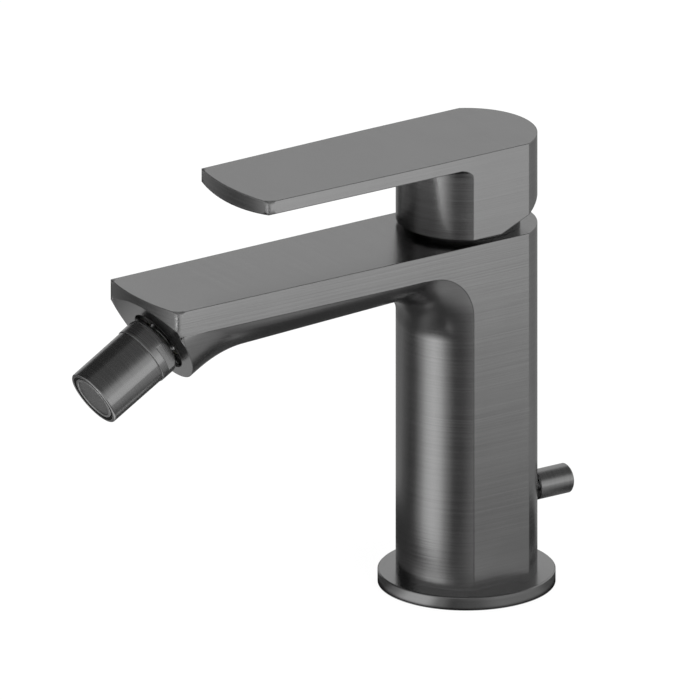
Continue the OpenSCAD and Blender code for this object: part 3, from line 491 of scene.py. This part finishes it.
def keel_z(x, y):
    """Height of the keel, an arc across the spout that gets shallower towards the column."""
    depth = WAIST_DEPTH + KEEL_SLOPE * (y - WAIST_Y)
    rise = depth - (BODY_TOP - BAND_Z)
    radius = (half_width(y) ** 2 + rise ** 2) / (2 * rise)
    return BODY_TOP - depth + radius - math.sqrt(max(radius ** 2 - x ** 2, 0.0))


def lobe_z(x, y, smooth=False):
    """Height of the lobe round the nozzle, as in the solid or as wide as the spout."""
    half = half_width(y) if smooth else TIP_HALF
    low = LOBE_DROP + (TIP_LENGTH - LOBE_DROP) * math.sqrt(max(1 - (x / half) ** 2, 0.0))
    back = (REACH - low * math.sin(NOZZLE_TILT) - y) * math.tan(NOZZLE_TILT)
    return FACE_TOP_Z - low * math.cos(NOZZLE_TILT) + back


def underside_z(x, y):
    """Height of the smooth underside, kept just below the flats' lower edge."""
    return min(soft_min(keel_z(x, y), lobe_z(x, y, smooth=True), LOBE_BLEND), BAND_Z - 0.02)


def before_face(y, z):
    """Distance in front of the inclined face, negative inside the spout."""
    return (y - REACH) * math.cos(NOZZLE_TILT) - (z - FACE_TOP_Z) * math.sin(NOZZLE_TILT)


def cut_y(share):
    """Where the underside's line at a share of the half width meets the inclined face."""
    low, high = CUT_FROM_Y, REACH + 1
    for _ in range(CUT_HALVINGS):
        mid = (low + high) / 2
        if before_face(mid, underside_z(share * half_width(mid), mid)) < 0:
            low = mid
        else:
            high = mid
    return low


def underside_path(share):
    """Points from the column's foot up its front, round the inside corner and out to the tip."""
    x = share * FLAT_X
    front = math.sqrt(COLUMN_R ** 2 - x ** 2)
    radius = CROOK_R_FRONT + (CROOK_R_FLAT - CROOK_R_FRONT) * share ** 2
    centre_y = front + radius
    centre_z = underside_z(share * half_width(centre_y), centre_y) - radius
    path = [(x, -front, FLANGE_T + (centre_z - FLANGE_T) * k / COLUMN_STEPS)
            for k in range(COLUMN_STEPS)]
    for k in range(CROOK_STEPS):
        turn = math.pi / 2 * k / CROOK_STEPS
        y = centre_y - radius * math.cos(turn)
        path.append((share * half_width(y), -y, centre_z + radius * math.sin(turn)))
    end = cut_y(share)
    for k in range(RUN_STEPS + 1):
        y = centre_y + (end - centre_y) * k / RUN_STEPS
        across = share * half_width(y)
        path.append((across, -y, underside_z(across, y)))
    return path


def face_outline(shares):
    """Outline of the inclined face as (across, down) pairs, clockwise from the left end of its top edge."""
    arc_r = (TIP_HALF ** 2 + BULGE ** 2) / (2 * BULGE)
    outline = []
    for k in range(ARC_STEPS + 1):
        x = -TIP_HALF + 2 * TIP_HALF * k / ARC_STEPS
        out = math.sqrt(arc_r ** 2 - x ** 2) - (arc_r - BULGE)
        outline.append((x, -out / math.sin(NOZZLE_TILT)))
    for share in reversed(shares):
        y = cut_y(share)
        outline.append((share * half_width(y), (REACH - y) / math.sin(NOZZLE_TILT)))
    return outline


def reach_of_outline(outline, angle):
    """Distance from the nozzle's axis to the outline in a direction in the face's plane."""
    dx, dv = math.sin(angle), math.cos(angle)
    best = 0.0
    for (ax, av), (bx, bv) in zip(outline, outline[1:] + outline[:1]):
        ex, ev = bx - ax, bv - av
        spread = dx * ev - dv * ex
        if abs(spread) < 1e-12:
            continue
        px, pv = ax, av - NOZZLE_DROP
        along = (px * ev - pv * ex) / spread
        part = (px * dv - pv * dx) / spread
        if along > 0 and -1e-6 <= part <= 1 + 1e-6:
            best = max(best, along)
    return best


def on_underside(x, y, z):
    """True for a point on the solid's column front, inside corner or spout underside."""
    if y < FRONT_Y:
        return False
    off_column = abs(math.hypot(x, y) - COLUMN_R)
    if FLANGE_T - 0.1 < z < CROOK_Z + 1.0 and off_column < NEAR_COLUMN:
        return True
    radius = CROOK_Y - math.sqrt(COLUMN_R ** 2 - min(abs(x), FLAT_X) ** 2)
    off_crook = abs(math.hypot(CROOK_Y - y, z - CROOK_Z) - radius)
    if y < CROOK_Y + 1.0 and z > CROOK_Z - 1.0 and off_crook < NEAR_CROOK:
        return True
    if y < CROOK_Y - 2.0:
        return False
    low = (REACH - y) * math.sin(NOZZLE_TILT) + (FACE_TOP_Z - z) * math.cos(NOZZLE_TILT)
    wall = math.hypot(x / TIP_HALF, max(low - LOBE_DROP, 0) / (TIP_LENGTH - LOBE_DROP))
    if low > 0.5 and z < BAND_Z + NEAR_FACE and abs(wall - 1) < NEAR_LOBE:
        return True
    return abs(z - min(throat_z(x, y), keel_z(x, y), lobe_z(x, y), BAND_Z)) < NEAR_RUN


def is_replaced(corners, normal):
    """True for the solid's faces that the smooth underside and the inclined face stand for."""
    points = [(p.x / MM, -p.y / MM, p.z / MM) for p in corners]
    if all(abs(before_face(y, z)) < NEAR_FACE for _, y, z in points):
        return normal.dot(JET) > 0.9
    if abs(normal.x) > SIDEWAYS and all(abs(abs(x) - half_width(y)) < NEAR_FLAT for x, y, _ in points):
        return False
    return all(on_underside(*p) for p in points)


def trim_flats(mesh):
    """Ends the spout's flat sides at their lower edge, where the smooth underside starts."""
    def beside_spout():
        return [f for f in mesh.faces if abs(f.normal.x) > SIDEWAYS and all(
            abs(abs(v.co.x) / MM - half_width(-v.co.y / MM)) < NEAR_FACE for v in f.verts)]
    flats = beside_spout()
    around = flats + list({e for f in flats for e in f.edges}) + list({v for f in flats for v in f.verts})
    bmesh.ops.bisect_plane(mesh, geom=around, dist=MERGE_GAP, plane_co=(0, 0, BAND_Z * MM),
                           plane_no=(0, 0, 1))
    low = [f for f in beside_spout() if f.calc_center_median().z < BAND_Z * MM
           and -f.calc_center_median().y > (CROOK_Y - NEAR_CROOK) * MM]
    bmesh.ops.delete(mesh, geom=low, context="FACES")


def add_underside(mesh, shares):
    """Skin of lines along the spout, with an upright strip on each side up to the flats' lower edge."""
    def edge_line(line):
        return [Vector((p.x, p.y, max(p.z, BAND_Z * MM) if -p.y > CROOK_Y * MM else p.z)) for p in line]

    lines = [[Vector(p) * MM for p in underside_path(share)] for share in shares]
    lines = [edge_line(lines[0]), *lines, edge_line(lines[-1])]
    rows = [[mesh.verts.new(p) for p in line] for line in lines]
    for left, right in zip(rows, rows[1:]):
        for k in range(len(left) - 1):
            corners = [left[k], left[k + 1], right[k + 1], right[k]]
            if all((a.co - b.co).length < 1e-7 for a, b in (corners[::3], corners[1:3])):
                continue
            mesh.faces.new(corners)


def add_inclined_face(mesh, shares):
    """Flat ring from the socket's mouth to the face's outline."""
    outline = face_outline(shares)
    top_corner = Vector((0, -REACH, FACE_TOP_Z))
    inner, outer = [], []
    for k in range(FACE_TURNS):
        angle = math.tau * k / FACE_TURNS
        for ring, radius in ((inner, SOCKET_R), (outer, reach_of_outline(outline, angle))):
            down = NOZZLE_DROP + radius * math.cos(angle)
            spot = top_corner - UP_FACE * down + Vector((radius * math.sin(angle), 0, 0))
            ring.append(mesh.verts.new(spot * MM))
    for k in range(FACE_TURNS):
        after = (k + 1) % FACE_TURNS
        mesh.faces.new([inner[k], inner[after], outer[after], outer[k]])


def to_object(mesh, name, finish):
    """Makes an object with one finish from a finished mesh."""
    data = bpy.data.meshes.new(name)
    mesh.to_mesh(data)
    mesh.free()
    data.materials.append(finish)
    made = bpy.data.objects.new(name, data)
    scene.collection.objects.link(made)
    return made


def make_body():
    """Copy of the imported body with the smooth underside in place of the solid's own."""
    mesh = bmesh.new()
    mesh.from_mesh(objects_of("body")[0].data)
    bmesh.ops.remove_doubles(mesh, verts=mesh.verts, dist=MERGE_GAP)
    mesh.normal_update()
    gone = [f for f in mesh.faces if is_replaced([v.co for v in f.verts], f.normal)]
    bmesh.ops.delete(mesh, geom=gone, context="FACES")
    trim_flats(mesh)

    shares = [math.sin(math.pi / 2 * (2 * k / ACROSS_STEPS - 1)) for k in range(ACROSS_STEPS + 1)]
    add_underside(mesh, shares)
    add_inclined_face(mesh, shares)

    mesh.normal_update()
    for edge in mesh.edges:
        edge.smooth = len(edge.link_faces) != 2 or edge.calc_face_angle(0.0) < SHARP_EDGE
    for face in mesh.faces:
        face.smooth = True
    body = to_object(mesh, "brushed_body", gunmetal)
    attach(body, "mixer_body")
    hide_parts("body")


# ---- Outlet's seal

# In millimetres, the outlet's distance counted along the jet from the inclined face
SHELL_BORE = 8.05
SEAL_BORE = 7.42
SEAL_LENGTH = 2.5
OUTLET_Z = 27.6
SEAL_TURNS = 96
SEAL_SHARP_EDGE = math.radians(25)


def turned(name, profile, finish):
    """Ring turned about the nozzle's axis from (radius, distance from the inclined face) pairs."""
    centre = Vector((0, -REACH, FACE_TOP_Z)) - UP_FACE * NOZZLE_DROP
    mesh = bmesh.new()
    rings = []
    for k in range(SEAL_TURNS):
        angle = math.tau * k / SEAL_TURNS
        across = Vector((1, 0, 0)) * math.cos(angle) + UP_FACE * math.sin(angle)
        rings.append([mesh.verts.new((centre + JET * along + across * radius) * MM)
                      for radius, along in profile])
    for k in range(SEAL_TURNS):
        here, after = rings[k], rings[(k + 1) % SEAL_TURNS]
        for j in range(len(profile)):
            mesh.faces.new([here[j], here[(j + 1) % len(profile)], after[(j + 1) % len(profile)], after[j]])
    bmesh.ops.recalc_face_normals(mesh, faces=mesh.faces)
    for face in mesh.faces:
        face.smooth = True
    for edge in mesh.edges:
        edge.smooth = edge.calc_face_angle(0.0) < SEAL_SHARP_EDGE
    return to_object(mesh, name, finish)


def make_outlet_seal():
    """Black ring between shell and aerator, with a soft lip that fills the shell's inner chamfer."""
    back = OUTLET_Z - SEAL_LENGTH
    lip = turned("outlet_seal_lip", [
        (SEAL_BORE, back), (SHELL_BORE - 0.02, back), (SHELL_BORE - 0.02, OUTLET_Z - 0.49),
        (SHELL_BORE + 0.4, OUTLET_Z - 0.07), (SHELL_BORE + 0.36, OUTLET_Z - 0.05),
        (SHELL_BORE, OUTLET_Z - 0.12), (SEAL_BORE + 0.1, OUTLET_Z - 0.22),
        (SEAL_BORE, OUTLET_Z - 0.3)], black_rubber)
    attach(lip, "nozzle")
    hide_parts("outlet_seal")


# ---- Studio

MIXER_MIDDLE = (0, -0.05, 0.09)
SPOUT_TIP = (0, -0.115, 0.095)
CAMERA_TARGET = (0, -0.0426, 0.0829)
CAMERA_AZIMUTH = 56
CAMERA_ELEVATION = 20
CAMERA_WIDTH = 0.21212

# Tones round the mixer's foot: (degrees, tone), 0 towards +X, -90 in line with the spout
FLOOR_TONES = [
    (-180, 0.42), (-163, 0.48), (-147, 0.26), (-133, 0.12), (-121, 0.16), (-110, 0.6), (-98, 1.4),
    (-87, 1.7), (-76, 1.45), (-64, 0.52), (-53, 0.1), (-41, 0.12), (-26, 0.3), (-8, 0.9), (8, 1.75),
    (24, 1.5), (40, 1.1), (70, 0.6), (110, 0.45), (180, 0.42),
]
RIM_TONES = [
    (-180, 0.3), (-140, 0.12), (-112, 0.14), (-97, 0.5), (-80, 1.3), (-66, 1.35), (-54, 0.5),
    (-44, 0.18), (-30, 0.25), (-8, 0.5), (25, 0.5), (45, 0.25), (60, 0.12), (120, 0.2), (180, 0.3),
]
TONE_LIMIT = 2.0

WORLD_SEEN = 1.0  # strength of the world where it is seen directly
WORLD_LIGHT = 0.72  # its strength where it only lights
FLOOR_SEEN = 1.02
FLOOR_COVERED = 0.9  # share of the floor's own shading that its plain white takes over

FLOOR_REACH = 3.0
FLOOR_CARD_R = 0.76
FLOOR_CARD_FADE = (0.55, 0.75)
RIM_CARD_R = 0.046
RIM_CARD_SOFT = 0.006
# painted contact shadow: the rim card is darker in a ring where the flange stands on the floor
CONTACT_FADE = (0.0275, 0.0292)  # dark ring where the flange stands on the floor
CONTACT_SHARE = 0.1
GRADED_R = (0.05, 0.28)
DISC_SIDES = 64
SPOT_MARGIN = 0.005
LAYER_STEP = 0.00006  # the cards on the floor lie in layers, so that none meets another

# The crook card is painted shade: a dark sheet that lies level in the inside corner under the spout, and
# stays clear of the column and of the near side
CROOK_CARD_Z = 0.084
CROOK_CARD_X = (-0.11, 0.0188)
CROOK_CARD_Y = (-0.095, -0.012)
CROOK_CLEAR = (0.0213, 0.029)
CROOK_FADE_Y = (-0.092, -0.072)

LAMPS = [  # name, azimuth, elevation, watts, width in metres
    ("key_lamp", 15, 48, 9.0, 0.7), ("fill_lamp", -110, 40, 4.0, 0.8), ("back_lamp", 150, 50, 5.0, 0.8),
]
LAMP_TARGET = (0, -0.04, 0.08)
LAMP_DISTANCE = 1.3


def toward(azimuth, elevation):
    """Direction from the mixer, in degrees: azimuth 0 is +X, elevation 90 straight up."""
    az, el = math.radians(azimuth), math.radians(elevation)
    return Vector((math.cos(az) * math.cos(el), math.sin(az) * math.cos(el), math.sin(el)))


def aim(held, target, away, distance):
    """Puts a camera or lamp at a distance from its target, looking back at it."""
    held.location = Vector(target) + away * distance
    held.rotation_mode = "QUATERNION"
    held.rotation_quaternion = (-away).to_track_quat("-Z", "Y")
    scene.collection.objects.link(held)


def emission(tree, tone):
    made = node(tree, "ShaderNodeEmission")
    made.inputs["Color"].default_value = (1, 1, 1, 1)
    feed(tree, made.inputs["Strength"], tone)
    return made.outputs["Emission"]


def mix_shaders(tree, factor, first, second):
    made = node(tree, "ShaderNodeMixShader")
    for index, socket in enumerate((factor, first, second)):
        tree.links.new(socket, made.inputs[index])
    return made.outputs[0]


def seen_directly(tree):
    """1 for the rays that show the background: camera, glossy and transmission."""
    path = node(tree, "ShaderNodeLightPath")
    first = math_node(tree, "MAXIMUM", path.outputs["Is Camera Ray"], path.outputs["Is Glossy Ray"])
    return math_node(tree, "MAXIMUM", first, path.outputs["Is Transmission Ray"])


def from_foot(tree, place_in):
    """Distance from the middle of the mixer's foot."""
    return vector_node(tree, "DISTANCE", place_in, (0, 0, 0))


def tone_round_foot(tree, place_in, stops):
    """Tone by direction round the mixer, from (degrees, tone) pairs with tones up to TONE_LIMIT."""
    parts = parts_of(tree, place_in)
    turn = math_node(tree, "ARCTAN2", parts["Y"], parts["X"])
    ramp = node(tree, "ShaderNodeValToRGB")
    ramp.color_ramp.interpolation = "EASE"
    while len(ramp.color_ramp.elements) < len(stops):
        ramp.color_ramp.elements.new(0.5)
    for element, (angle, tone) in zip(ramp.color_ramp.elements, stops):
        element.position = (angle + 180) / 360
        element.color = (*grey(tone / TONE_LIMIT), 1)
    tree.links.new(map_range(tree, turn, -math.pi, math.pi, 0.0, 1.0, smooth=False), ramp.inputs["Fac"])
    return math_node(tree, "MULTIPLY", ramp.outputs["Color"], TONE_LIMIT)


def make_world():
    """Pale studio: white where it is seen, softer where it lights."""
    world = bpy.data.worlds.new("pale_studio")
    world.use_nodes = True
    scene.world = world
    tree = world.node_tree
    back = next(n for n in tree.nodes if n.type == "BACKGROUND")
    back.inputs["Color"].default_value = (1, 1, 1, 1)
    tree.links.new(map_range(tree, seen_directly(tree), 0.0, 1.0, WORLD_LIGHT, WORLD_SEEN, smooth=False),
                   back.inputs["Strength"])


def flat_mesh(name, points, finish):
    mesh = bpy.data.meshes.new(name)
    mesh.from_pydata([tuple(p) for p in points], [], [list(range(len(points)))])
    made = bpy.data.objects.new(name, mesh)
    scene.collection.objects.link(made)
    made.data.materials.append(finish)
    return made


def rectangle(x_range, y_range, z):
    (left, right), (near, far) = x_range, y_range
    return [(left, near, z), (right, near, z), (right, far, z), (left, far, z)]


def make_floor():
    """Floor that shows white, keeps the mixer's shadow and is open from below."""
    made, tree, shader = new_finish("pale_floor")
    shader.inputs["Base Color"].default_value = (*grey(0.9), 1)
    shader.inputs["Roughness"].default_value = 0.9
    shader.inputs["Specular IOR Level"].default_value = 0.0
    shown = mix_shaders(tree, math_node(tree, "MULTIPLY", seen_directly(tree), FLOOR_COVERED),
                        shader.outputs["BSDF"], emission(tree, FLOOR_SEEN))
    open_below = mix_shaders(tree, node(tree, "ShaderNodeNewGeometry").outputs["Backfacing"],
                             shown, node(tree, "ShaderNodeBsdfTransparent").outputs[0])
    out = next(n for n in tree.nodes if n.type == "OUTPUT_MATERIAL")
    tree.links.new(open_below, out.inputs["Surface"])
    span = (-FLOOR_REACH, FLOOR_REACH)
    flat_mesh("floor", rectangle(span, span, 0), made)


def make_card(name, points, tone, cover):
    """Card with soft edges that only the metal shows: its tone, and how much of it is there."""
    made = bpy.data.materials.new(name)
    made.use_nodes = True
    tree = made.node_tree
    tree.nodes.clear()
    place_in = place_on_piece(tree)
    shown = tone(tree, place_in) if callable(tone) else tone
    mixed = mix_shaders(tree, cover(tree, place_in), node(tree, "ShaderNodeBsdfTransparent").outputs[0],
                        emission(tree, shown))
    tree.links.new(mixed, node(tree, "ShaderNodeOutputMaterial").inputs["Surface"])
    card = flat_mesh(name, points, made)
    card.visible_camera = False
    card.visible_diffuse = False
    card.visible_shadow = False
    card.visible_transmission = False
    card.visible_volume_scatter = False


def disc(middle, layer, radius):
    x, y = middle
    turns = [math.tau * k / DISC_SIDES for k in range(DISC_SIDES)]
    return [(x + radius * math.cos(turn), y + radius * math.sin(turn), layer * LAYER_STEP) for turn in turns]


def rim_cover(tree, place_in, inside, outside):
    """Share that changes across the rim card's soft edge."""
    away = from_foot(tree, place_in)
    return map_range(tree, away, RIM_CARD_R - RIM_CARD_SOFT, RIM_CARD_R, inside, outside)


def make_floor_card(layer):
    """Graded card on the floor: dark to the left and right of the spout, light in line with it."""
    def tone(tree, place_in):
        return tone_round_foot(tree, place_in, FLOOR_TONES)

    def cover(tree, place_in):
        return map_range(tree, from_foot(tree, place_in), *FLOOR_CARD_FADE, 1.0, 0.0)
    make_card("floor_card", disc((0, 0), layer, FLOOR_CARD_R), tone, cover)


def make_rim_card(layer):
    """Small graded card close round the flange, for its rim and the lowest part of the column, with a
    painted contact shadow just outside the flange.
    """
    def tone(tree, place_in):
        contact = map_range(tree, from_foot(tree, place_in), *CONTACT_FADE, CONTACT_SHARE, 1.0)
        return math_node(tree, "MULTIPLY", tone_round_foot(tree, place_in, RIM_TONES), contact)

    def cover(tree, place_in):
        return rim_cover(tree, place_in, 1.0, 0.0)
    make_card("rim_card", disc((0, 0), layer, RIM_CARD_R), tone, cover)


def graded_tone(near_tone, far_tone):
    """Tone that changes outwards from the mixer's foot, darker near it as painted shade."""
    def tone(tree, place_in):
        return map_range(tree, from_foot(tree, place_in), *GRADED_R, near_tone, far_tone)
    return tone


def make_spot_card(name, middle, layer, radius, soft, tone, rim_hole=False):
    """Round card on the floor with a soft edge, with or without a hole for the rim card."""
    def cover(tree, place_in):
        away = vector_node(tree, "DISTANCE", place_in, (*middle, 0))
        there = map_range(tree, away, radius - soft, radius, 1.0, 0.0)
        if not rim_hole:
            return there
        return math_node(tree, "MULTIPLY", there, rim_cover(tree, place_in, 0.0, 1.0))
    make_card(name, disc(middle, layer, radius + SPOT_MARGIN), tone, cover)


def make_crook_shade_card():
    """Dark level card under the root of the spout, clear of the column's face: painted shade that the
    column's front and the inside corner show.
    """
    def cover(tree, place_in):
        away = vector_node(tree, "DISTANCE", place_in, (0, 0, CROOK_CARD_Z))
        clear = map_range(tree, away, *CROOK_CLEAR, 0.0, 1.0)
        near_side = map_range(tree, parts_of(tree, place_in)["Y"], *CROOK_FADE_Y, 0.0, 1.0)
        return math_node(tree, "MULTIPLY", clear, near_side)
    make_card("crook_shade_card", rectangle(CROOK_CARD_X, CROOK_CARD_Y, CROOK_CARD_Z), 0.1, cover)


def make_hung_card(name, start, away, distance, width, height, tone, soft):
    """Card hung at a distance from a point of the mixer, square to it, with edges that fade."""
    side = Vector((-away.y, away.x, 0)).normalized()
    up = away.cross(side)
    middle = Vector(start) + away * distance

    def cover(tree, place_in):
        from_middle = vector_node(tree, "SUBTRACT", place_in, middle)
        squares = []
        for direction, size in ((side, width), (up, height)):
            along = vector_node(tree, "DOT_PRODUCT", from_middle, direction)
            share = math_node(tree, "DIVIDE", along, size / 2)
            squares.append(math_node(tree, "MULTIPLY", share, share))
        far = math_node(tree, "SQRT", math_node(tree, "ADD", *squares))
        return map_range(tree, far, 1.0 - soft, 1.0, 1.0, 0.0)

    corners = [middle + side * (width / 2 * a) + up * (height / 2 * b)
               for a, b in ((-1, -1), (1, -1), (1, 1), (-1, 1))]
    make_card(name, corners, tone, cover)


def make_cards():
    """Cards that give the metal its tones, each named for its place or for the piece that it tones."""
    make_floor_card(layer=1)
    make_rim_card(layer=3)
    make_spot_card("side_card", (0.135, 0.1), layer=2, radius=0.19, soft=0.08, tone=graded_tone(0.5, 0.78))
    # the foot card is painted shade: a dark patch on the floor round the mixer's foot, seen in the metal
    make_spot_card("foot_card", (-0.03, -0.012), layer=4, radius=0.075, soft=0.035, tone=0.1, rim_hole=True)
    make_spot_card("hub_card", (-0.335, -0.06), layer=6, radius=0.085, soft=0.04, tone=0.1)
    make_spot_card("corner_card", (0.045, -0.45), layer=5, radius=0.06, soft=0.03, tone=8.0)
    make_spot_card("knob_card", (0.014, 0.068), layer=5, radius=0.034, soft=0.018, tone=0.12)
    make_hung_card("overhead_flag", MIXER_MIDDLE, toward(25, 75), distance=0.8, width=2.4, height=2.4,
                   tone=0.2, soft=0.5)
    make_hung_card("light_panel", MIXER_MIDDLE, toward(20, 0), distance=0.9, width=0.6, height=0.36,
                   tone=1.5, soft=0.4)
    make_crook_shade_card()
    make_hung_card("left_flag", MIXER_MIDDLE, toward(-158, 38), distance=0.8, width=1.3, height=1.6,
                   tone=0.08, soft=0.4)
    make_hung_card("tip_card", SPOUT_TIP, toward(177, -39), distance=0.055, width=0.06, height=0.05,
                   tone=0.7, soft=0.5)


def make_lamps():
    for name, azimuth, elevation, power, size in LAMPS:
        lamp = bpy.data.lights.new(name, "AREA")
        lamp.energy = power
        lamp.size = size
        held = bpy.data.objects.new(name, lamp)
        held.visible_glossy = False
        aim(held, LAMP_TARGET, toward(azimuth, elevation), LAMP_DISTANCE)


def make_camera():
    """Parallel view as in the photo; its azimuth is counted from the front of the nozzle."""
    data = bpy.data.cameras.new("camera")
    data.type = "ORTHO"
    data.ortho_scale = CAMERA_WIDTH
    data.clip_start, data.clip_end = 0.01, 10.0
    camera = bpy.data.objects.new("camera", data)
    aim(camera, CAMERA_TARGET, toward(CAMERA_AZIMUTH - 90, CAMERA_ELEVATION), 1.0)
    scene.camera = camera


make_camera()
make_world()
make_floor()
make_cards()
make_lamps()
dress_solids()
make_body()
make_outlet_seal()

scene.view_settings.view_transform = "Standard"
